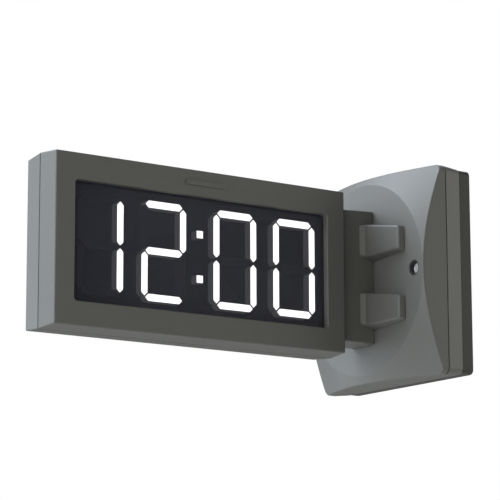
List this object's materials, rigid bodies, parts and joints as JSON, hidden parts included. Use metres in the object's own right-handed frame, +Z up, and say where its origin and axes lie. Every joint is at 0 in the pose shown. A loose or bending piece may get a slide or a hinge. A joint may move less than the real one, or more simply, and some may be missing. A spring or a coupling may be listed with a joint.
{
  "type": "two-sided digital wall clock",
  "caption": "Flag-mounted two-sided digital clock: flat case with lit segment digits behind smoked lenses, on a short lugged arm from a nearly square domed wall unit.",
  "frame": {"origin": "centre of the wall plate's back face, on the wall", "axes": "+X into the wall, the clock reaches out along -X; +Z up; the front dial faces -Y"},
  "size_m": [0.3148, 0.1422, 0.1518],
  "materials": {
    "case_plastic": "fine spark texture, warm dark grey",
    "plate_plastic": "fine spark texture, charcoal",
    "mask_plastic": "matt black",
    "lens_smoke": "smoked, polished",
    "lit_diffuser": "opal, lit white",
    "unlit_diffuser": "smoked, unlit",
    "seal_rubber": "matt black",
    "screw_steel": "bright zinc plate",
    "chassis_aluminium": "mill finish",
    "board_green": "solder mask",
    "chip_black": "moulded epoxy",
    "connector_cream": "natural nylon",
    "lamp_body": "phosphor under clear resin",
    "ribbon_grey": "flat PVC ribbon",
    "winding_copper": "enamelled copper",
    "contact_gold": "gold flash",
    "capacitor_sleeve": "shrink sleeve",
    "terminal_green": "moulded nylon",
    "status_green": "clear tinted",
    "button_red": "moulded, glossy"
  },
  "bodies": {
    "clock": {"front_shell": "case_plastic", "rear_shell": "case_plastic", "shell_seal": "seal_rubber", "shell_screws": "screw_steel", "front_lens": "lens_smoke", "rear_lens": "lens_smoke", "front_lens_gasket": "seal_rubber", "rear_lens_gasket": "seal_rubber", "front_mask_tray": "mask_plastic", "rear_mask_tray": "mask_plastic", "front_lit_segments": "lit_diffuser", "rear_lit_segments": "lit_diffuser", "front_unlit_segments": "unlit_diffuser", "rear_unlit_segments": "unlit_diffuser", "front_leds": "lamp_body", "rear_leds": "lamp_body", "front_led_board": "board_green", "rear_led_board": "board_green", "front_driver_chips": "chip_black", "rear_driver_chips": "chip_black", "chassis_plate": "chassis_aluminium", "board_spacers": "screw_steel", "display_screws": "screw_steel", "display_nuts": "screw_steel", "display_link": "chip_black", "harness_socket": "connector_cream", "display_harness": "ribbon_grey", "arm": "case_plastic", "arm_gasket": "seal_rubber", "arm_screws": "screw_steel", "cover": "case_plastic", "cover_seal": "seal_rubber", "cover_screws": "screw_steel", "cover_screw_seals": "seal_rubber", "screw_retainers": "mask_plastic", "base": "case_plastic", "base_screws": "screw_steel", "wall_plate": "plate_plastic", "cable_grommet": "seal_rubber", "controller_board": "board_green", "board_screws": "screw_steel", "ethernet_jack": "screw_steel", "jack_contacts": "contact_gold", "terminal_block": "terminal_green", "terminal_screws": "screw_steel", "poe_transformer": "chip_black", "transformer_winding": "winding_copper", "power_inductor": "chip_black", "capacitors": "capacitor_sleeve", "processor": "chip_black", "memory_chips": "chip_black", "cell_holder": "mask_plastic", "coin_cell": "screw_steel", "harness_header": "connector_cream", "status_led": "status_green", "reset_switch": "chip_black"},
    "reset_button": {"reset_button": "button_red"}
  },
  "joints": [
    {"name": "reset_press", "type": "slide", "parent": "clock", "child": "reset_button", "axis": [1, 0, 0], "range_m": [0, 0.0003], "stiffness_N_per_m": 4000, "springref_m": -0.0001}
  ]
}
